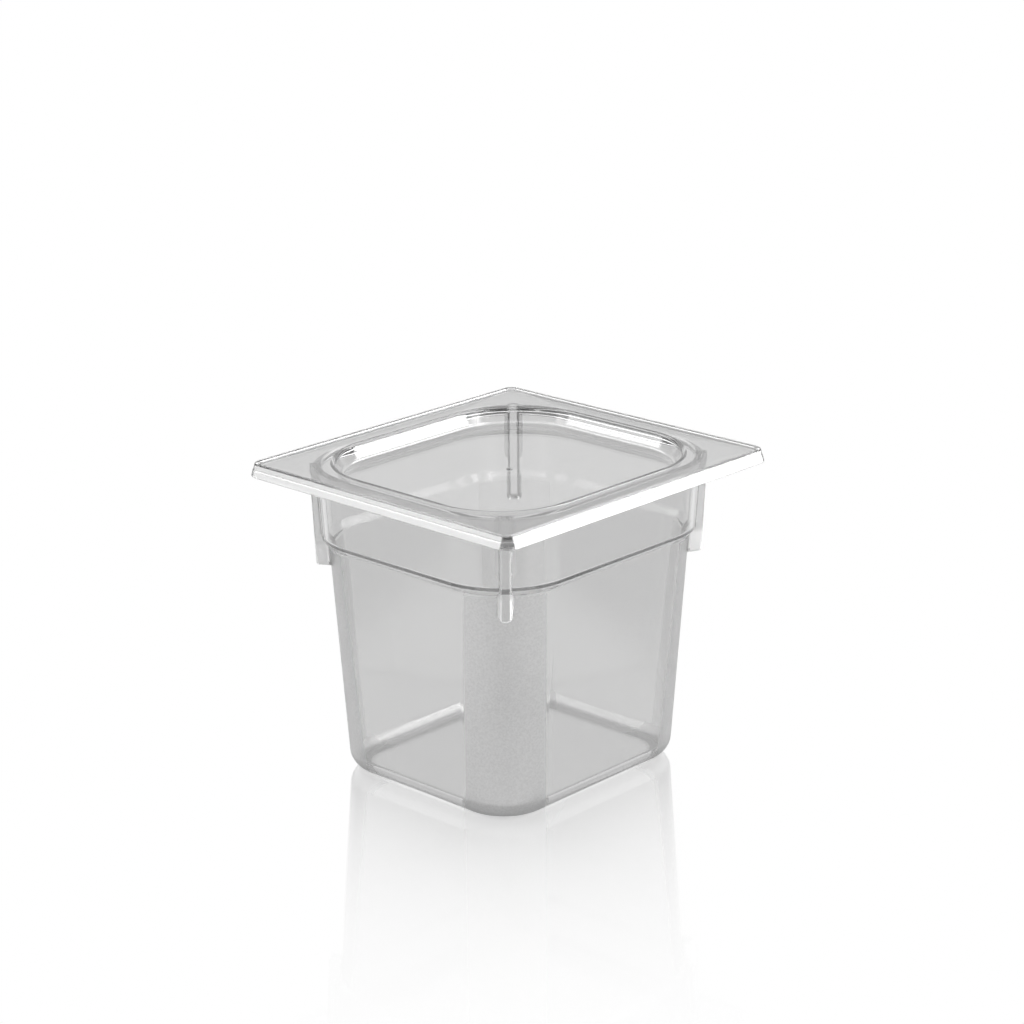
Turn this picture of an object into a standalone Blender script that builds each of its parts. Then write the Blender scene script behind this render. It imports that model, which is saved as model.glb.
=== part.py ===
"""Deli food pan with its lid: a clear sixth-size gastronorm food pan, nominally 150 mm deep.

Two loose pieces. The pan is a thin-walled tapered box with a flat flange, a stacking shoulder
part-way down and an upright lug on every corner. The lid is a flat recessed cover that rests on
the flange. Metres, +Z up, origin under the middle of the base, +X along the long side.
"""
import math

import bmesh
import bpy

for old in list(bpy.data.objects):
    bpy.data.objects.remove(old, do_unlink=True)

MM = 0.001

# ---- driving dimensions (mm). An inset is measured inwards from the flange's outermost edge.
LENGTH, WIDTH = 176.0, 162.0          # flange, outermost edge
HEIGHT = 148.0                        # base to the top of the fitted lid
WALL = 2.6                            # wall of the pan
FLOOR = 3.0                           # floor of the pan
GAP = 0.3                             # clearance between lid and flange

LID_FLANGE = 2.8                      # thickness of the lid's flange
LID_WALL = 2.4                        # thickness of the lid's recess
RECESS_DEPTH = 7.0                    # recess below the lid's flange
RECESS_TOP, RECESS_FOOT = 16.6, 20.0  # insets of the recess wall, top and bottom

SEAT = HEIGHT - LID_FLANGE - GAP      # top of the pan's flange
FLANGE_UNDER = SEAT - 2.7             # underside of the pan's flange
LIP_FOOT = SEAT - 3.4                 # bottom of the flange's turned-down lip
LIP_WIDTH = 2.5
LIP_TRIM = 0.20                       # what the rounded lower edge takes off the lip
LIP_SLOPE = 0.75                      # how far the lip's outer face leans in, foot to top
LID_EDGE_FOOT, LID_EDGE_TOP = 1.15, 1.67     # insets of the lid's leaning edge

NECK_TOP, NECK_FOOT = 11.8, 13.6      # insets of the wall between flange and shoulder
SHOULDER_TOP, SHOULDER_FOOT = 112.8, 109.6
BODY_TOP, BODY_FOOT = 16.8, 24.6      # insets of the tapered wall below the shoulder
BASE_FILLET = 9.0

# The corners of each zone turn about a fixed upright axis, given as an inset on both sides.
EDGE_AXIS, BODY_AXIS, RECESS_AXIS = 7.0, 48.8, 57.0
CORNER_STEPS = 16

LUG_FOOT = 98.9                       # bottom of the corner lugs
LUG_TOP = FLANGE_UNDER + 1.2          # the lugs run up into the flange
LUG_REACH_TOP, LUG_REACH_FOOT = 39.9, 37.8   # from the corner axis to the lug's outer face
LUG_HALF_WIDTH = 2.2                  # at the outer face
LUG_FLARE = math.tan(math.radians(13.0))   # the flanks spread towards the wall
LUG_TIP_RADIUS = 1.9
LUG_ROUND = 0.9                       # rounded front edges
LUG_DEPTH = 8.0                       # flare continues to here, inside the wall

GATE_RADIUS, GATE_HEIGHT = 1.4, 0.6   # moulding gate in the middle of the lid
GATE_ROOT, GATE_CHAMFER = 0.8, 0.25
CAP_MARGIN = 3.0                      # flats are closed by one face from here inwards


def ring(inset, axis):
    """Rounded-rectangle outline, counter-clockwise; the corner axes stay put as the inset grows."""
    half_x, half_y, radius = LENGTH / 2 - axis, WIDTH / 2 - axis, axis - inset
    points = []
    for sx, sy, start in ((1, 1, 0), (-1, 1, 90), (-1, -1, 180), (1, -1, 270)):
        for step in range(CORNER_STEPS + 1):
            turn = math.radians(start + 90.0 * step / CORNER_STEPS)
            points.append((sx * half_x + radius * math.cos(turn), sy * half_y + radius * math.sin(turn)))
    return points


def rounded(path):
    """Profile path of (inset, z, axis, fillet radius, fillet steps) with its corners rounded."""
    out = []
    for i, (inset, z, axis, radius, steps) in enumerate(path):
        if radius <= 0 or i in (0, len(path) - 1):
            out.append((inset, z, axis))
            continue
        ax, az = path[i - 1][0] - inset, path[i - 1][1] - z
        bx, bz = path[i + 1][0] - inset, path[i + 1][1] - z
        la, lb = math.hypot(ax, az), math.hypot(bx, bz)
        ax, az, bx, bz = ax / la, az / la, bx / lb, bz / lb
        half = math.acos(max(-1.0, min(1.0, ax * bx + az * bz))) / 2
        mx, mz = ax + bx, az + bz
        lm = math.hypot(mx, mz)
        reach = radius / math.sin(half)
        cx, cz = inset + mx / lm * reach, z + mz / lm * reach
        tangent = radius / math.tan(half)
        first = math.atan2(z + az * tangent - cz, inset + ax * tangent - cx)
        last = math.atan2(z + bz * tangent - cz, inset + bx * tangent - cx)
        sweep = (last - first + math.pi) % (2 * math.pi) - math.pi
        for step in range(steps + 1):
            turn = first + sweep * step / steps
            out.append((cx + radius * math.cos(turn), cz + radius * math.sin(turn), axis))
    return out


def plastic(name, colour):
    material = bpy.data.materials.new(name)
    material.use_nodes = True
    shader = material.node_tree.nodes["Principled BSDF"]
    shader.inputs["Base Color"].default_value = (*colour, 1.0)
    shader.inputs["Roughness"].default_value = 0.08
    shader.inputs["IOR"].default_value = 1.585
    shader.inputs["Transmission Weight"].default_value = 0.9
    material.diffuse_color = (*colour, 1.0)
    return material


def add_object(name, verts, faces, material=None):
    mesh = bpy.data.meshes.new(name)
    mesh.from_pydata([(x * MM, y * MM, z * MM) for x, y, z in verts], [], faces)
    bm = bmesh.new()
    bm.from_mesh(mesh)
    bmesh.ops.recalc_face_normals(bm, faces=bm.faces)
    for face in bm.faces:
        face.smooth = True
    bm.to_mesh(mesh)
    bm.free()
    mesh.set_sharp_from_angle(angle=math.radians(35))
    if material:
        mesh.materials.append(material)
    thing = bpy.data.objects.new(name, mesh)
    bpy.context.scene.collection.objects.link(thing)
    return thing


def add_shell(name, profile, material):
    """Closed body swept round the rings of a profile and capped at its first and last ring."""
    verts, faces = [], []
    for inset, z, axis in profile:
        verts += [(x, y, z) for x, y in ring(inset, axis)]
    count = len(ring(0, EDGE_AXIS))
    for k in range(len(profile) - 1):
        for j in range(count):
            a, b = k * count + j, k * count + (j + 1) % count
            faces.append((a, b, b + count, a + count))
    faces.append(tuple(reversed(range(count))))
    faces.append(tuple(range(len(verts) - count, len(verts))))
    return add_object(name, verts, faces, material)


def join_on(body, tool):
    """Grow a body by a tool that is itself left out of the finished part."""
    tool.hide_render = True
    tool.display_type = "WIRE"
    union = body.modifiers.new("join " + tool.name, "BOOLEAN")
    union.operation = "UNION"
    union.solver = "EXACT"
    union.object = tool
    body.data.set_sharp_from_angle(angle=math.radians(35))


# ---- pan: outside from the base up to the flange, then down the inside to the floor
def pan_profile():
    slope = (BODY_FOOT - BODY_TOP) / SHOULDER_FOOT
    inner_shoulder = WALL * math.sqrt(2) + SHOULDER_TOP + NECK_FOOT
    neck, body = NECK_FOOT + WALL, BODY_TOP + WALL
    return rounded([
        (BODY_FOOT + BASE_FILLET + CAP_MARGIN, 0.0, BODY_AXIS, 0, 0),
        (BODY_FOOT, 0.0, BODY_AXIS, BASE_FILLET, 8),
        (BODY_TOP, SHOULDER_FOOT, BODY_AXIS, 1.6, 3),
        (NECK_FOOT, SHOULDER_TOP, BODY_AXIS, 1.2, 3),
        (NECK_TOP, FLANGE_UNDER, BODY_AXIS, 1.5, 4),
        (LIP_WIDTH + 0.2, FLANGE_UNDER, EDGE_AXIS, 0.3, 2),
        (LIP_WIDTH, LIP_FOOT, EDGE_AXIS, 0.25, 2),
        (-LIP_TRIM, LIP_FOOT, EDGE_AXIS, 0.6, 3),
        (LIP_SLOPE, SEAT, EDGE_AXIS, 0.6, 3),
        (NECK_TOP + WALL, SEAT, BODY_AXIS, 1.5, 4),
        (neck, inner_shoulder - neck, BODY_AXIS, 1.6, 3),
        (body, inner_shoulder - body, BODY_AXIS, 1.2, 3),
        (BODY_FOOT + WALL - slope * FLOOR, FLOOR, BODY_AXIS, BASE_FILLET - WALL, 7),
        (BODY_FOOT + BASE_FILLET + CAP_MARGIN, FLOOR, BODY_AXIS, 0, 0),
    ])


# ---- corner lug: flat rib standing on the corner's diagonal, from the flange to below the shoulder
def lug_section(half_width, inner):
    """Upright outline of the lug at one depth: pairs of (side, z) from the top round to the tip."""
    tip = min(LUG_TIP_RADIUS, half_width - 0.2)
    side = [(half_width, LUG_TOP), (half_width, SHOULDER_TOP), (half_width, SHOULDER_FOOT)]
    for step in range(7):
        turn = math.radians(90.0 * step / 6)
        side.append((half_width - tip * (1 - math.cos(turn)), LUG_FOOT + tip * (1 - math.sin(turn)) + inner))
    return side


def wall_radius(z):
    """Outer corner radius of the pan's wall at a height."""
    if z >= SHOULDER_TOP:
        t = (z - SHOULDER_TOP) / (FLANGE_UNDER - SHOULDER_TOP)
        return BODY_AXIS - (NECK_FOOT + (NECK_TOP - NECK_FOOT) * t)
    if z <= SHOULDER_FOOT:
        return BODY_AXIS - (BODY_FOOT + (BODY_TOP - BODY_FOOT) * z / SHOULDER_FOOT)
    t = (z - SHOULDER_FOOT) / (SHOULDER_TOP - SHOULDER_FOOT)
    return BODY_AXIS - (BODY_TOP + (NECK_FOOT - BODY_TOP) * t)


def lug_reach(z):
    t = (z - LUG_FOOT) / (LUG_TOP - LUG_FOOT)
    return LUG_REACH_FOOT + (LUG_REACH_TOP - LUG_REACH_FOOT) * t


def lugs():
    verts, faces = [], []
    for sx, sy in ((1, 1), (-1, 1), (-1, -1), (1, -1)):
        # depth in from the outer face, and how far the outline has rounded over there
        turns = [math.radians(degrees) for degrees in (90, 60, 30, 0)]
        layers = [(LUG_ROUND * (1 - math.sin(turn)), LUG_ROUND * (1 - math.cos(turn))) for turn in turns]
        layers.append((None, 0.0))
        start = len(verts)
        for depth, round_over in layers:
            flare = LUG_DEPTH if depth is None else depth
            outline = lug_section(LUG_HALF_WIDTH + flare * LUG_FLARE - round_over, round_over)
            loop = []
            for hand in (1, -1):
                for side, z in outline if hand == 1 else reversed(outline):
                    out = wall_radius(z) - WALL / 2 if depth is None else lug_reach(z) - depth
                    side -= (flare - (lug_reach(z) - out)) * LUG_FLARE
                    along, across = out / math.sqrt(2), hand * side / math.sqrt(2)
                    x = sx * (LENGTH / 2 - BODY_AXIS + along) + sy * across
                    y = sy * (WIDTH / 2 - BODY_AXIS + along) - sx * across
                    loop.append((x, y, z))
            verts += loop
        size = len(loop)
        for k in range(len(layers) - 1):
            for j in range(size):
                a, b = start + k * size + j, start + k * size + (j + 1) % size
                faces.append((a, b, b + size, a + size))
        for base in (start, start + (len(layers) - 1) * size):
            for j in range(size // 2 - 1):
                faces.append((base + j, base + j + 1, base + size - 2 - j, base + size - 1 - j))
    return add_object("corner_lugs", verts, faces)


# ---- lid: underside from the panel out to the edge, then back over the top into the recess
def lid_profile():
    drop, run = RECESS_DEPTH, RECESS_FOOT - RECESS_TOP
    length = math.hypot(drop, run)
    lean = run / drop
    under = HEIGHT - LID_FLANGE
    panel = HEIGHT - RECESS_DEPTH

    def outer_inset(z):
        return RECESS_TOP - LID_WALL * drop / length + (HEIGHT - LID_WALL * run / length - z) * lean

    return rounded([
        (RECESS_FOOT + CAP_MARGIN, panel - LID_WALL, RECESS_AXIS, 0, 0),
        (outer_inset(panel - LID_WALL), panel - LID_WALL, RECESS_AXIS, 3.0, 5),
        (outer_inset(under), under, RECESS_AXIS, 0.9, 3),
        (LID_EDGE_FOOT, under, EDGE_AXIS, 0.4, 2),
        (LID_EDGE_TOP, HEIGHT, EDGE_AXIS, 1.2, 5),
        (RECESS_TOP, HEIGHT, RECESS_AXIS, 2.2, 6),
        (RECESS_FOOT, panel, RECESS_AXIS, 2.0, 6),
        (RECESS_FOOT + CAP_MARGIN, panel, RECESS_AXIS, 0, 0),
    ])


def gate():
    """Low round moulding gate, sunk into the panel so that it grows out of it."""
    count = 24
    panel = HEIGHT - RECESS_DEPTH
    levels = [(GATE_RADIUS, panel - GATE_ROOT), (GATE_RADIUS, panel + GATE_HEIGHT - GATE_CHAMFER),
              (GATE_RADIUS - GATE_CHAMFER, panel + GATE_HEIGHT)]
    verts = [(r * math.cos(2 * math.pi * j / count), r * math.sin(2 * math.pi * j / count), z)
             for r, z in levels for j in range(count)]
    faces = []
    for k in range(len(levels) - 1):
        for j in range(count):
            a, b = k * count + j, k * count + (j + 1) % count
            faces.append((a, b, b + count, a + count))
    faces += [tuple(reversed(range(count))), tuple(range(len(verts) - count, len(verts)))]
    return add_object("lid_gate", verts, faces)


pan = add_shell("pan", pan_profile(), plastic("clear_plastic_pan", (0.82, 0.84, 0.85)))
join_on(pan, lugs())

lid = add_shell("lid", lid_profile(), plastic("clear_plastic_lid", (0.88, 0.90, 0.91)))
join_on(lid, gate())
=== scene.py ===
"""Looks of the deli food pan: clear polycarbonate pan and lid on a white sweep."""
import math

import bmesh
import bpy
from mathutils import Matrix, Vector


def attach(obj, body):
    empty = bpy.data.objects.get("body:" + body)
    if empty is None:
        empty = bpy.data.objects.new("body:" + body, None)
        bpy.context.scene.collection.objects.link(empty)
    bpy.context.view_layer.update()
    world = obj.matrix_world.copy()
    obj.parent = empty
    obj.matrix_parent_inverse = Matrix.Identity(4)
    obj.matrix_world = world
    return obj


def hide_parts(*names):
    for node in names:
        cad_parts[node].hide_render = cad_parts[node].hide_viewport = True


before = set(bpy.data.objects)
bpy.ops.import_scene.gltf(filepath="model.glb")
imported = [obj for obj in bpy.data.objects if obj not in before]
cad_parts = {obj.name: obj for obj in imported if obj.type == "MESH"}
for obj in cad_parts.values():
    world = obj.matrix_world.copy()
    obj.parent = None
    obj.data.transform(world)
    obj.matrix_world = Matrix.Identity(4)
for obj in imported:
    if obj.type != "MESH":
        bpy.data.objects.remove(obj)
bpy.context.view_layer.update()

# ---------------------------------------------------------------- sizes, in millimetres
MM = 0.001
LENGTH, WIDTH, HEIGHT = 176.0, 162.0, 148.0
WALL, FLOOR, GAP = 2.6, 3.0, 0.3
LID_FLANGE, LID_WALL = 2.8, 2.4
RECESS_DEPTH, RECESS_TOP, RECESS_FOOT = 7.0, 16.6, 20.0
SEAT = HEIGHT - LID_FLANGE - GAP
FLANGE_UNDER, LIP_FOOT = SEAT - 2.7, SEAT - 3.4
LIP_WIDTH, LIP_TRIM, LIP_SLOPE = 2.5, 0.17, 0.75
LID_EDGE_FOOT, LID_EDGE_TOP = 1.02, 1.67
LID_EDGE_DROP = 0.2                   # the lid's rim hangs this much lower, which hides the play below it
NECK_TOP, NECK_FOOT = 11.8, 13.6
SHOULDER_TOP, SHOULDER_FOOT = 112.8, 109.6
BODY_TOP, BODY_FOOT, BASE_FILLET = 16.8, 24.6, 9.0
EDGE_AXIS, BODY_AXIS, RECESS_AXIS = 7.0, 48.8, 57.0
CORNER_STEPS = 40
PAN_CAP, LID_CAP = 1.0, 3.0           # flats are closed by one face from here inwards

LUG_FOOT, LUG_TOP = 98.9, FLANGE_UNDER + 1.2
LUG_REACH_TOP, LUG_REACH_FOOT = 39.9, 37.8
LUG_HALF_WIDTH, LUG_FLARE, LUG_TIP_RADIUS = 2.2, math.tan(math.radians(13.0)), 1.9
LUG_ROUND, LUG_DEPTH = 0.9, 8.0
GATE_RADIUS, GATE_HEIGHT, GATE_ROOT = 1.4, 0.6, 0.8
SATIN_HALF_WIDTH = 18.0               # satin strip on each corner of the body


# ---------------------------------------------------------------- shapes
def ring(inset, axis):
    """Rounded-rectangle outline; the corner axes stay put as the inset grows."""
    half_x, half_y, radius = LENGTH / 2 - axis, WIDTH / 2 - axis, axis - inset
    points = []
    for sx, sy, start in ((1, 1, 0), (-1, 1, 90), (-1, -1, 180), (1, -1, 270)):
        for step in range(CORNER_STEPS + 1):
            turn = math.radians(start + 90.0 * step / CORNER_STEPS)
            points.append((sx * half_x + radius * math.cos(turn), sy * half_y + radius * math.sin(turn)))
    return points


def rounded(path):
    """Profile of (inset, z, axis, fillet radius, fillet steps) with its corners rounded."""
    out = []
    for i, (inset, z, axis, radius, steps) in enumerate(path):
        if radius <= 0 or i in (0, len(path) - 1):
            out.append((inset, z, axis))
            continue
        ax, az = path[i - 1][0] - inset, path[i - 1][1] - z
        bx, bz = path[i + 1][0] - inset, path[i + 1][1] - z
        la, lb = math.hypot(ax, az), math.hypot(bx, bz)
        ax, az, bx, bz = ax / la, az / la, bx / lb, bz / lb
        half = math.acos(max(-1.0, min(1.0, ax * bx + az * bz))) / 2
        mx, mz = ax + bx, az + bz
        lm = math.hypot(mx, mz)
        reach = radius / math.sin(half)
        cx, cz = inset + mx / lm * reach, z + mz / lm * reach
        tangent = radius / math.tan(half)
        first = math.atan2(z + az * tangent - cz, inset + ax * tangent - cx)
        last = math.atan2(z + bz * tangent - cz, inset + bx * tangent - cx)
        sweep = (last - first + math.pi) % (2 * math.pi) - math.pi
        for step in range(steps + 1):
            turn = first + sweep * step / steps
            out.append((cx + radius * math.cos(turn), cz + radius * math.sin(turn), axis))
    return out


def add_object(name, verts, faces, material=None):
    """Smooth-shaded mesh object from vertices in millimetres."""
    mesh = bpy.data.meshes.new(name)
    mesh.from_pydata([(x * MM, y * MM, z * MM) for x, y, z in verts], [], faces)
    bm = bmesh.new()
    bm.from_mesh(mesh)
    bmesh.ops.recalc_face_normals(bm, faces=bm.faces)
    for face in bm.faces:
        face.smooth = True
    bm.to_mesh(mesh)
    bm.free()
    if material:
        mesh.materials.append(material)
    thing = bpy.data.objects.new(name, mesh)
    bpy.context.scene.collection.objects.link(thing)
    return thing


def shell_data(profile):
    """Closed body swept round the rings of a profile and capped at its first and last ring."""
    verts, faces = [], []
    for inset, z, axis in profile:
        verts += [(x, y, z) for x, y in ring(inset, axis)]
    count = 4 * (CORNER_STEPS + 1)
    for k in range(len(profile) - 1):
        for j in range(count):
            a, b = k * count + j, k * count + (j + 1) % count
            faces.append((a, b, b + count, a + count))
    faces.append(tuple(reversed(range(count))))
    faces.append(tuple(range(len(verts) - count, len(verts))))
    return verts, faces


def pan_profile():
    """Outside from the base up to the flange, then down the inside to the floor."""
    slope = (BODY_FOOT - BODY_TOP) / SHOULDER_FOOT
    inner_shoulder = WALL * math.sqrt(2) + SHOULDER_TOP + NECK_FOOT
    neck, body = NECK_FOOT + WALL, BODY_TOP + WALL
    return rounded([
        (BODY_FOOT + BASE_FILLET + PAN_CAP, 0.0, BODY_AXIS, 0, 0),
        (BODY_FOOT, 0.0, BODY_AXIS, BASE_FILLET, 20),
        (BODY_TOP, SHOULDER_FOOT, BODY_AXIS, 1.6, 8),
        (NECK_FOOT, SHOULDER_TOP, BODY_AXIS, 1.2, 8),
        (NECK_TOP, FLANGE_UNDER, BODY_AXIS, 1.5, 10),
        (LIP_WIDTH + 0.2, FLANGE_UNDER, EDGE_AXIS, 0.3, 4),
        (LIP_WIDTH, LIP_FOOT, EDGE_AXIS, 0.25, 4),
        (-LIP_TRIM, LIP_FOOT, EDGE_AXIS, 0.6, 8),
        (LIP_SLOPE, SEAT, EDGE_AXIS, 0.6, 8),
        (NECK_TOP + WALL, SEAT, BODY_AXIS, 1.5, 10),
        (neck, inner_shoulder - neck, BODY_AXIS, 1.6, 8),
        (body, inner_shoulder - body, BODY_AXIS, 1.2, 8),
        (BODY_FOOT + WALL - slope * FLOOR, FLOOR, BODY_AXIS, BASE_FILLET - WALL, 18),
        (BODY_FOOT + BASE_FILLET + PAN_CAP, FLOOR, BODY_AXIS, 0, 0),
    ])


def lug_section(half_width, inner):
    """Upright outline of a lug at one depth: pairs of (side, z) from the top round to the tip."""
    tip = min(LUG_TIP_RADIUS, half_width - 0.2)
    side = [(half_width, LUG_TOP), (half_width, SHOULDER_TOP), (half_width, SHOULDER_FOOT)]
    for step in range(11):
        turn = math.radians(90.0 * step / 10)
        side.append((half_width - tip * (1 - math.cos(turn)), LUG_FOOT + tip * (1 - math.sin(turn)) + inner))
    return side


def wall_radius(z):
    """Outer corner radius of the pan's wall at a height."""
    if z >= SHOULDER_TOP:
        t = (z - SHOULDER_TOP) / (FLANGE_UNDER - SHOULDER_TOP)
        return BODY_AXIS - (NECK_FOOT + (NECK_TOP - NECK_FOOT) * t)
    if z <= SHOULDER_FOOT:
        return BODY_AXIS - (BODY_FOOT + (BODY_TOP - BODY_FOOT) * z / SHOULDER_FOOT)
    t = (z - SHOULDER_FOOT) / (SHOULDER_TOP - SHOULDER_FOOT)
    return BODY_AXIS - (BODY_TOP + (NECK_FOOT - BODY_TOP) * t)


def lug_reach(z):
    """Distance from the corner axis to a lug's outer face at a height."""
    t = (z - LUG_FOOT) / (LUG_TOP - LUG_FOOT)
    return LUG_REACH_FOOT + (LUG_REACH_TOP - LUG_REACH_FOOT) * t


def lugs_data():
    """Four upright lugs on the corners' diagonals; their flanks spread towards the wall."""
    verts, faces = [], []
    turns = [math.radians(degrees) for degrees in (90, 72, 54, 36, 18, 0)]
    # depth in from the outer face, and how far the outline has rounded over there
    layers = [(LUG_ROUND * (1 - math.sin(turn)), LUG_ROUND * (1 - math.cos(turn))) for turn in turns]
    layers.append((None, 0.0))
    for sx, sy in ((1, 1), (-1, 1), (-1, -1), (1, -1)):
        start = len(verts)
        for depth, round_over in layers:
            flare = LUG_DEPTH if depth is None else depth
            outline = lug_section(LUG_HALF_WIDTH + flare * LUG_FLARE - round_over, round_over)
            loop = []
            for hand in (1, -1):
                for side, z in outline if hand == 1 else reversed(outline):
                    out = wall_radius(z) - WALL / 2 if depth is None else lug_reach(z) - depth
                    side -= (flare - (lug_reach(z) - out)) * LUG_FLARE
                    along, across = out / math.sqrt(2), hand * side / math.sqrt(2)
                    x = sx * (LENGTH / 2 - BODY_AXIS + along) + sy * across
                    y = sy * (WIDTH / 2 - BODY_AXIS + along) - sx * across
                    loop.append((x, y, z))
            verts += loop
        size = len(loop)
        for k in range(len(layers) - 1):
            for j in range(size):
                a, b = start + k * size + j, start + k * size + (j + 1) % size
                faces.append((a, b, b + size, a + size))
        for base in (start, start + (len(layers) - 1) * size):
            for j in range(size // 2 - 1):
                faces.append((base + j, base + j + 1, base + size - 2 - j, base + size - 1 - j))
    return verts, faces


def lid_profile():
    """Underside from the panel out to the edge, then back over the top into the recess."""
    drop, run = RECESS_DEPTH, RECESS_FOOT - RECESS_TOP
    length = math.hypot(drop, run)
    lean = run / drop
    under, panel = HEIGHT - LID_FLANGE, HEIGHT - RECESS_DEPTH

    def outer_inset(z):
        return RECESS_TOP - LID_WALL * drop / length + (HEIGHT - LID_WALL * run / length - z) * lean

    return rounded([
        (RECESS_FOOT + LID_CAP, panel - LID_WALL, RECESS_AXIS, 0, 0),
        (outer_inset(panel - LID_WALL), panel - LID_WALL, RECESS_AXIS, 3.0, 12),
        (outer_inset(under), under, RECESS_AXIS, 0.9, 8),
        (4.0, under, EDGE_AXIS, 0, 0),
        (3.6, under - LID_EDGE_DROP, EDGE_AXIS, 0, 0),
        (LID_EDGE_FOOT, under - LID_EDGE_DROP, EDGE_AXIS, 0.3, 5),
        (LID_EDGE_TOP, HEIGHT, EDGE_AXIS, 1.2, 10),
        (RECESS_TOP, HEIGHT, RECESS_AXIS, 2.2, 14),
        (RECESS_FOOT, panel, RECESS_AXIS, 2.0, 14),
        (RECESS_FOOT + LID_CAP, panel, RECESS_AXIS, 0, 0),
    ])


def gate_data():
    """Low round moulding gate in the middle of the lid's panel."""
    count, panel = 32, HEIGHT - RECESS_DEPTH
    levels = [(GATE_RADIUS, panel - GATE_ROOT), (GATE_RADIUS, panel + GATE_HEIGHT - 0.25),
              (GATE_RADIUS - 0.08, panel + GATE_HEIGHT - 0.08), (GATE_RADIUS - 0.25, panel + GATE_HEIGHT)]
    last = len(levels) - 1
    verts = [(r * math.cos(2 * math.pi * j / count), r * math.sin(2 * math.pi * j / count), z)
             for r, z in levels for j in range(count)]
    faces = []
    for k in range(last):
        for j in range(count):
            a, b = k * count + j, k * count + (j + 1) % count
            faces.append((a, b, b + count, a + count))
    faces += [tuple(reversed(range(count))), tuple(range(last * count, (last + 1) * count))]
    return verts, faces


def joined(name, data, tool_data, material):
    """One closed moulding from a shell and a tool, with normals that keep the flats flat."""
    body = add_object(name, *data, material)
    tool = add_object(name + "_tool", *tool_data)
    union = body.modifiers.new("union", "BOOLEAN")
    union.operation, union.solver, union.object = "UNION", "EXACT", tool
    bpy.context.view_layer.update()
    mesh = bpy.data.meshes.new_from_object(body.evaluated_get(bpy.context.evaluated_depsgraph_get()))
    body.modifiers.clear()
    old = body.data
    body.data = mesh
    bpy.data.objects.remove(tool, do_unlink=True)
    bpy.data.meshes.remove(old)
    mesh.name = name
    for face in mesh.polygons:
        face.use_smooth = True
        face.material_index = 0
    while len(mesh.materials) > 1:
        mesh.materials.pop()
    mesh.set_sharp_from_angle(angle=math.radians(35))
    weighted = body.modifiers.new("flat faces stay flat", "WEIGHTED_NORMAL")
    weighted.keep_sharp = True
    return body


# ---------------------------------------------------------------- materials
# Painted light: the outer edges get an opaque white share as a painted highlight, and the flange corners a
# dark tint as a painted dark reflection, in place of studio highlights and reflections.
EDGE_PAINTED_HIGHLIGHT = 0.8
# the lugs' rounded edges get an opaque white share too, as a painted highlight
LUG_TINT, LUG_PAINTED_HIGHLIGHT, CORNER_PAINTED_DARK_REFLECTION = 0.66, 0.9, 0.40


class Nodes:
    """Small helper that wires shader nodes."""

    def __init__(self, tree):
        self.tree = tree

    def add(self, kind, **inputs):
        """New node with some of its inputs set or linked; an underscore stands for a space."""
        node = self.tree.nodes.new(kind)
        for key, value in inputs.items():
            self.put(node.inputs[key.replace("_", " ")], value)
        return node

    def put(self, socket, value):
        if isinstance(value, bpy.types.NodeSocket):
            self.tree.links.new(value, socket)
        else:
            socket.default_value = value

    def math(self, operation, *values, clamp=False):
        node = self.tree.nodes.new("ShaderNodeMath")
        node.operation, node.use_clamp = operation, clamp
        for socket, value in zip(node.inputs, values):
            self.put(socket, value)
        return node.outputs[0]

    def ramp(self, value, low, high, out_low=0.0, out_high=1.0, smooth=True):
        """out_low below low, out_high above high, and an even change in between."""
        node = self.tree.nodes.new("ShaderNodeMapRange")
        node.interpolation_type = "SMOOTHSTEP" if smooth else "LINEAR"
        for index, v in enumerate((value, low, high, out_low, out_high)):
            self.put(node.inputs[index], v)
        return node.outputs[0]

    def mixed(self, factor, first, second):
        node = self.add("ShaderNodeMix")
        for index, value in ((0, factor), (2, first), (3, second)):
            self.put(node.inputs[index], value)
        return node.outputs[0]

    def noise(self, vector, scale, detail=2.0, roughness=0.5):
        node = self.add("ShaderNodeTexNoise", Scale=scale, Detail=detail, Roughness=roughness)
        self.put(node.inputs["Vector"], vector)
        return node.outputs["Fac"]


def rounded_inset(n, parts, axis):
    """How far a point lies inside the flange's outline, in millimetres, for one corner axis."""
    x = n.math("SUBTRACT", n.math("ABSOLUTE", n.math("DIVIDE", parts.outputs[0], MM)), LENGTH / 2 - axis)
    y = n.math("SUBTRACT", n.math("ABSOLUTE", n.math("DIVIDE", parts.outputs[1], MM)), WIDTH / 2 - axis)
    out_x, out_y = n.math("MAXIMUM", x, 0.0), n.math("MAXIMUM", y, 0.0)
    corner = n.math("SQRT", n.math("ADD", n.math("MULTIPLY", out_x, out_x), n.math("MULTIPLY", out_y, out_y)))
    inner = n.math("MINIMUM", n.math("MAXIMUM", x, y), 0.0)
    return n.math("SUBTRACT", axis, n.math("ADD", corner, inner)), x, y


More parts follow.
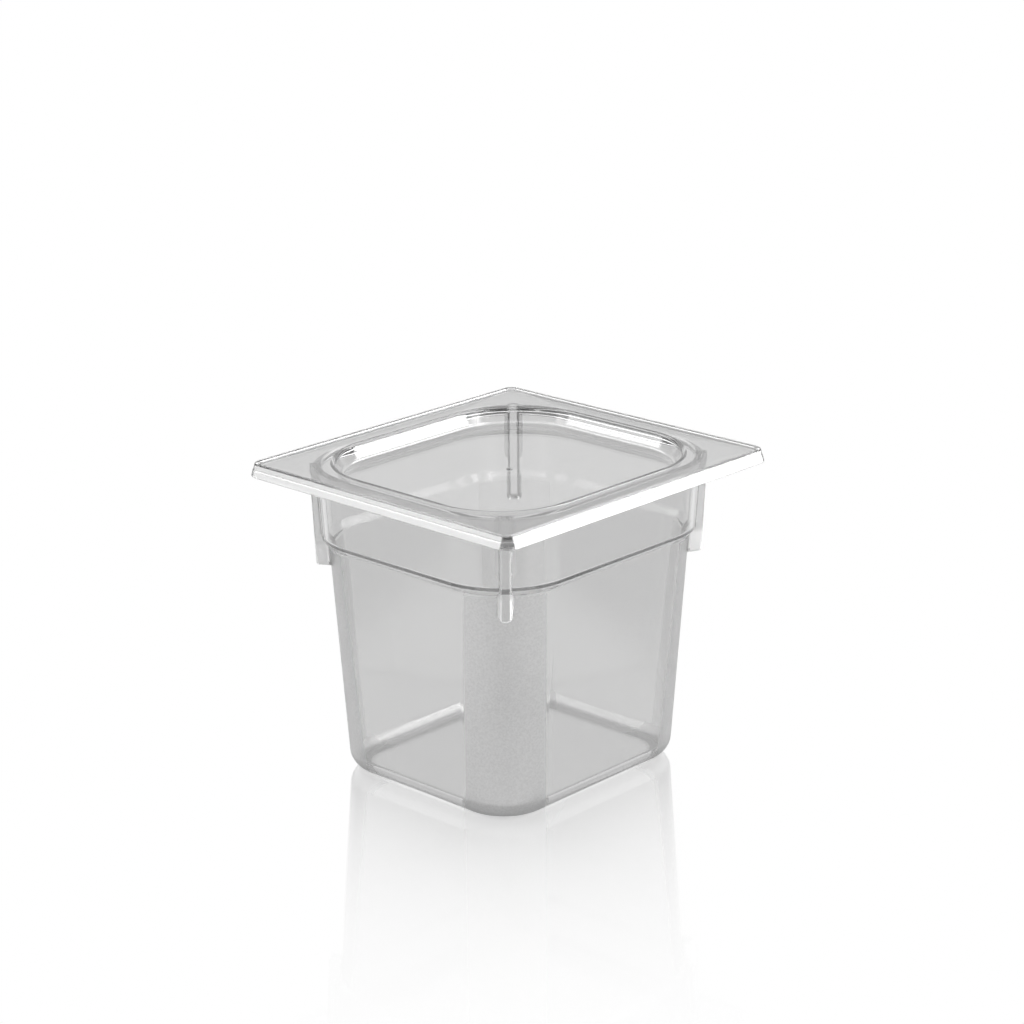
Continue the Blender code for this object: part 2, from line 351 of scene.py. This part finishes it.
def corner_zones(n, parts, height):
    """Masks on the pan's corners: textured strip, whole lug, and the lug's rounded front edges that carry a
    painted highlight.
    """
    inset, x, y = rounded_inset(n, parts, BODY_AXIS)
    across = n.math("ABSOLUTE", n.math("MULTIPLY", n.math("SUBTRACT", x, y), math.sqrt(0.5)))
    skin = n.math("ADD", BODY_FOOT, n.math("MULTIPLY", height, (BODY_TOP - BODY_FOOT) / SHOULDER_FOOT))
    depth = n.math("SUBTRACT", inset, skin)
    fillet = n.ramp(height, 0.0, BASE_FILLET, BASE_FILLET, 0.0, False)
    outer = n.math("LESS_THAN", n.math("SUBTRACT", depth, fillet), WALL / 2)
    strip = n.ramp(across, SATIN_HALF_WIDTH - 0.25, SATIN_HALF_WIDTH + 0.25, 1.0, 0.0)
    body = n.ramp(height, SHOULDER_FOOT - 1.2, SHOULDER_FOOT - 0.6, 1.0, 0.0)
    proud = n.math("LESS_THAN", depth, -0.4)
    satin = n.math("MULTIPLY", n.math("MULTIPLY", strip, body),
                   n.math("MULTIPLY", outer, n.math("SUBTRACT", 1.0, proud)))

    radius = n.math("MULTIPLY", n.math("ADD", x, y), math.sqrt(0.5))
    rise = (LUG_REACH_TOP - LUG_REACH_FOOT) / (LUG_TOP - LUG_FOOT)
    face = n.math("ADD", LUG_REACH_FOOT - LUG_FOOT * rise, n.math("MULTIPLY", height, rise))
    front = n.math("SUBTRACT", face, radius)
    narrow = n.math("LESS_THAN", across, LUG_HALF_WIDTH + 2.4)
    wall = n.ramp(height, SHOULDER_FOOT, SHOULDER_TOP,
                  BODY_AXIS - BODY_TOP + 0.4, BODY_AXIS - NECK_FOOT + 0.2, False)
    below_flange = n.math("LESS_THAN", height, FLANGE_UNDER - 0.2)
    stands_out = n.math("MULTIPLY", n.math("GREATER_THAN", radius, wall), below_flange)
    lug = n.math("MULTIPLY", narrow, stands_out)
    # where the painted highlight lies on a lug: the rounded edges of its flanks and its tip, fading up the
    # shaft
    flank = n.ramp(across, LUG_HALF_WIDTH - 0.7, LUG_HALF_WIDTH - 0.3)
    tip = n.math("MULTIPLY", n.ramp(height, LUG_FOOT + 1.0, LUG_FOOT + 1.6, 1.0, 0.0),
                 n.ramp(front, 1.2, 1.8, 1.0, 0.0))
    shaft = n.ramp(height, SHOULDER_FOOT - 1.5, SHOULDER_TOP, 1.0, 0.5)
    return satin, lug, n.math("MULTIPLY", n.math("MULTIPLY", lug, shaft), n.math("MAXIMUM", flank, tip))


def painted_edge_highlight_and_dark_reflection(n, parts, height, inset_limit, low, high):
    """Masks on a flange's upright outer edge: the straight runs whitened as a painted highlight, and the
    corners darkened as a painted dark reflection.
    """
    inset, x, y = rounded_inset(n, parts, EDGE_AXIS)
    outside = n.ramp(inset, inset_limit, inset_limit + 0.35, 1.0, 0.0)
    above = n.ramp(height, low - 0.2, low, 0.0, 1.0)
    below = n.ramp(height, high - 0.2, high, 1.0, 0.0)
    straight = n.ramp(n.math("MINIMUM", x, y), 1.6, 2.6, 1.0, 0.0)
    zone = n.math("MULTIPLY", outside, n.math("MULTIPLY", above, below))
    return n.math("MULTIPLY", zone, straight), n.math("MULTIPLY", zone, n.math("SUBTRACT", 1.0, straight))


def corner_details(n, place, parts, height, tint, roughness, relief):
    """Give the pan's corners their satin strips and lugs; also returns the painted highlight on the lugs'
    edges.
    """
    strip, lug, lug_painted_highlight = corner_zones(n, parts, height)
    grain = n.noise(place, 1000.0, 2.0, 0.6)
    roughness = n.mixed(strip, roughness, n.ramp(grain, 0.35, 0.65, 0.30, 0.42))
    relief = n.math("ADD", relief, n.math("MULTIPLY", n.math("MULTIPLY", grain, strip), 0.00008))
    tint = n.mixed(strip, tint, n.ramp(grain, 0.3, 0.7, tint - 0.11, tint + 0.05))
    tint = n.mixed(lug, tint, LUG_TINT)
    # the lugs' rounded front edges are whitened as a painted highlight
    return tint, roughness, relief, n.math("MULTIPLY", lug_painted_highlight, LUG_PAINTED_HIGHLIGHT)


def clear_plastic(name, tint, edge_zone, with_corners):
    """Clear grey plastic; edge_zone is the inset limit and the height range of its painted edge highlight and
    painted dark corners.
    """
    material = bpy.data.materials.new(name)
    material.use_nodes = True
    tree = material.node_tree
    n = Nodes(tree)
    shader = tree.nodes["Principled BSDF"]
    shader.inputs["IOR"].default_value = 1.585
    place = n.add("ShaderNodeTexCoord").outputs["Object"]
    parts = n.add("ShaderNodeSeparateXYZ", Vector=place)
    height = n.math("DIVIDE", parts.outputs[2], MM)

    roughness = n.ramp(n.noise(place, 55.0, 3.0), 0.3, 0.7, 0.012, 0.035)
    relief = n.math("MULTIPLY", n.noise(place, 16.0, 1.0), 0.00001)
    lug_painted_highlight = 0.0
    if with_corners:
        tint, roughness, relief, lug_painted_highlight = corner_details(n, place, parts, height, tint, roughness, relief)
    edge, corner = painted_edge_highlight_and_dark_reflection(n, parts, height, *edge_zone)
    # the flange's corners are darkened as a painted dark reflection
    tint = n.mixed(corner, tint, CORNER_PAINTED_DARK_REFLECTION)
    # the straight runs of the outer edge and the lugs' edges turn partly opaque and white: a painted
    # highlight
    edge = n.math("MAXIMUM", edge, lug_painted_highlight)
    roughness = n.mixed(edge, roughness, 0.22)
    grey = n.mixed(edge, tint, 0.96)
    colour = n.add("ShaderNodeCombineColor")
    for index, shade in enumerate((1.001, 1.0, 0.9995)):
        n.put(colour.inputs[index], n.math("MULTIPLY", grey, shade))
    tree.links.new(colour.outputs[0], shader.inputs["Base Color"])
    n.put(shader.inputs["Transmission Weight"], n.math("SUBTRACT", 1.0, n.math("MULTIPLY", edge, EDGE_PAINTED_HIGHLIGHT)))
    n.put(shader.inputs["Roughness"], roughness)
    bump = n.add("ShaderNodeBump", Strength=1.0, Distance=1.0, Height=relief)
    tree.links.new(bump.outputs[0], shader.inputs["Normal"])
    return material


def pan_plastic():
    return clear_plastic("clear_pan_plastic", 0.76, (1.3, LIP_FOOT + 0.5, SEAT + 0.3), True)


def lid_plastic():
    return clear_plastic("clear_lid_plastic", 0.88, (1.8, HEIGHT - LID_FLANGE, HEIGHT - 0.75), False)


# ---------------------------------------------------------------- the two mouldings
def show(thing, node):
    """Let a moulding stand for its CAD node and move with it."""
    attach(thing, node)
    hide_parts(node)


def build_pan():
    show(joined("pan_moulding", shell_data(pan_profile()), lugs_data(), pan_plastic()), "pan")


def build_lid():
    show(joined("lid_moulding", shell_data(lid_profile()), gate_data(), lid_plastic()), "lid")


# ---------------------------------------------------------------- studio
ROOM = 0.10
# azimuth, elevation, half width, half height, soft edge (degrees), strength
PANELS = ((133, 15, 35, 25, 20, 0.60),     # lit backdrop
          (34, 21.5, 36, 3, 2, 14.0),      # long thin strip light on the right
          (-126, 21.5, 30, 3, 2, 4.5),     # weaker one on the left
          (95, 46, 22, 9, 8, 4.0),         # two soft ones high at the back
          (178, 46, 22, 9, 8, 3.0),
          (38, 46, 24, 14, 8, 5.0),        # fill from the right and, weaker, the left
          (-132, 44, 20, 14, 8, 2.0),
          (-47, 10, 40, 20, 20, 0.40),     # dimmer backdrop behind the camera
          (0, 90, 180, 25, 20, 2.0))       # bank overhead
MIRROR_SHARE, MIRROR_REACH = 0.60, 0.060
VIEW = math.radians(-46.98)           # azimuth of the camera
SIDE_LIGHT, FRONT_LIGHT, CONTACT_SHADE = 0.60, 0.55, 0.40


def floor_light(n, parts, inset):
    """Light the floor sends into the plastic: dim under the base's fillet, to the sides and in front."""
    under = n.math("MULTIPLY", n.ramp(inset, 22.0, 27.0), n.ramp(inset, 33.0, 38.0, 1.0, 0.0))
    across = n.math("ADD", n.math("MULTIPLY", parts.outputs[0], math.cos(VIEW)),
                    n.math("MULTIPLY", parts.outputs[1], math.sin(VIEW)))
    along = n.math("SUBTRACT", n.math("MULTIPLY", parts.outputs[0], math.sin(VIEW)),
                   n.math("MULTIPLY", parts.outputs[1], math.cos(VIEW)))
    beside = n.math("DIVIDE", n.math("ABSOLUTE", across), n.math("ADD", n.math("ABSOLUTE", along), 0.10))
    sides = n.ramp(beside, 1.3, 2.2, 1.0, SIDE_LIGHT)
    near_viewer = n.ramp(n.math("SUBTRACT", along, n.math("ABSOLUTE", across)), 0.08, 0.20, 1.0, FRONT_LIGHT)
    return n.math("SUBTRACT", n.math("MINIMUM", sides, near_viewer), n.math("MULTIPLY", under, CONTACT_SHADE))


def white_floor():
    """Glowing white with a soft mirror image that dies away from the pan."""
    material = bpy.data.materials.new("white_floor")
    material.use_nodes = True
    tree = material.node_tree
    tree.nodes.clear()
    n = Nodes(tree)
    parts = n.add("ShaderNodeSeparateXYZ", Vector=n.add("ShaderNodeNewGeometry").outputs["Position"])
    inset = rounded_inset(n, parts, BODY_AXIS)[0]
    seen = n.add("ShaderNodeLightPath").outputs["Is Camera Ray"]

    glow = n.add("ShaderNodeEmission", Strength=n.math("MAXIMUM", floor_light(n, parts, inset), seen))
    glow.inputs["Color"].default_value = (1, 1, 1, 1)
    mirror = n.add("ShaderNodeBsdfGlossy", Roughness=0.05)
    mirror.distribution = "MULTI_GGX"
    gain = 1.0 / (ROOM + PANELS[0][-1])       # so the mirrored backdrop is as white as the floor
    mirror.inputs["Color"].default_value = (gain, gain, gain, 1)
    away = n.math("MAXIMUM", n.math("DIVIDE", n.math("SUBTRACT", BODY_FOOT + 4.0, inset), 1000.0), 0.0)
    fade = n.math("MULTIPLY", n.math("EXPONENT", n.math("DIVIDE", away, -MIRROR_REACH)), MIRROR_SHARE)
    mix = n.add("ShaderNodeMixShader")
    n.put(mix.inputs[0], n.math("MULTIPLY", fade, seen))
    tree.links.new(glow.outputs[0], mix.inputs[1])
    tree.links.new(mirror.outputs[0], mix.inputs[2])
    out = n.add("ShaderNodeOutputMaterial")
    tree.links.new(mix.outputs[0], out.inputs["Surface"])
    return material


def sweep_floor():
    mesh = bpy.data.meshes.new("floor")
    half = 4.0
    corners = [(-half, -half), (half, -half), (half, half), (-half, half)]
    mesh.from_pydata([(x, y, -0.0002) for x, y in corners], [], [(0, 1, 2, 3)])
    mesh.materials.append(white_floor())
    floor = bpy.data.objects.new("floor", mesh)
    bpy.context.scene.collection.objects.link(floor)


def studio_world():
    """Dim room with a soft backdrop and the lamps of PANELS."""
    world = bpy.data.worlds.new("studio")
    bpy.context.scene.world = world
    world.use_nodes = True
    world.cycles.sampling_method = "NONE"
    tree = world.node_tree
    tree.nodes.clear()
    n = Nodes(tree)
    parts = n.add("ShaderNodeSeparateXYZ", Vector=n.add("ShaderNodeTexCoord").outputs["Generated"])
    around = n.math("ARCTAN2", parts.outputs[0], n.math("MULTIPLY", parts.outputs[1], -1.0))
    height = n.math("ARCSINE", parts.outputs[2])

    def panel(azimuth, elevation, half_width, half_height, soft, strength):
        """A soft-edged rectangle of light; angles in degrees."""
        turn = n.math("SUBTRACT", around, math.radians(azimuth))
        off = n.math("ABSOLUTE", n.math("WRAP", turn, math.pi, -math.pi))
        up = n.math("ABSOLUTE", n.math("SUBTRACT", height, math.radians(elevation)))
        wide = n.ramp(off, math.radians(half_width), math.radians(half_width + soft), 1.0, 0.0)
        tall = n.ramp(up, math.radians(half_height), math.radians(half_height + soft), 1.0, 0.0)
        return n.math("MULTIPLY", n.math("MULTIPLY", wide, tall), strength)

    # lamps show in a first reflection only; the camera itself sees plain white
    path = n.add("ShaderNodeLightPath")
    lamps = 0.0
    for lamp in PANELS[1:]:
        lamps = n.math("ADD", lamps, panel(*lamp))
    lamps = n.math("MULTIPLY", lamps, n.math("LESS_THAN", path.outputs["Glossy Depth"], 1.5))
    level = n.math("ADD", n.math("ADD", ROOM, panel(*PANELS[0])), lamps)
    glow = n.add("ShaderNodeBackground", Strength=n.mixed(path.outputs["Is Camera Ray"], level, 1.0))
    glow.inputs["Color"].default_value = (1, 1, 1, 1)
    out = n.add("ShaderNodeOutputWorld")
    tree.links.new(glow.outputs[0], out.inputs["Surface"])


def camera():
    """Long lens at the usual catalogue angle, a corner towards the viewer."""
    elevation, roll = math.radians(18.06), math.radians(-0.37)
    back = Vector((math.sin(VIEW) * math.cos(elevation), -math.cos(VIEW) * math.cos(elevation),
                   math.sin(elevation)))
    side = Vector((math.cos(VIEW), math.sin(VIEW), 0.0))
    up = back.cross(side)
    right = side * math.cos(roll) + up * math.sin(roll)
    top = up * math.cos(roll) - side * math.sin(roll)
    focal, distance = 2.746, 1.28879          # focal length in image widths, metres to the aim point
    aim_right, aim_up = -0.001943359375, -0.041748046875    # aim point from the middle, in image widths
    place = (Vector((0.0, 0.0, 0.1)) + back * distance
             - right * (aim_right / focal * distance) - top * (aim_up / focal * distance))
    data = bpy.data.cameras.new("camera")
    data.sensor_width = 36.0
    data.lens = focal * 36.0
    data.clip_start, data.clip_end = 0.01, 50.0
    view = bpy.data.objects.new("camera", data)
    bpy.context.scene.collection.objects.link(view)
    view.matrix_world = Matrix((right, top, back)).transposed().to_4x4()
    view.location = place
    bpy.context.scene.camera = view


def render_settings():
    """Plain colours, and enough bounces for several layers of clear plastic."""
    scene = bpy.context.scene
    scene.view_settings.view_transform = "Standard"
    scene.view_settings.look = "None"
    scene.cycles.max_bounces = 48
    scene.cycles.transmission_bounces = 48
    scene.cycles.glossy_bounces = 48
    scene.cycles.sample_clamp_indirect = 8.0


build_pan()
build_lid()
sweep_floor()
studio_world()
camera()
render_settings()
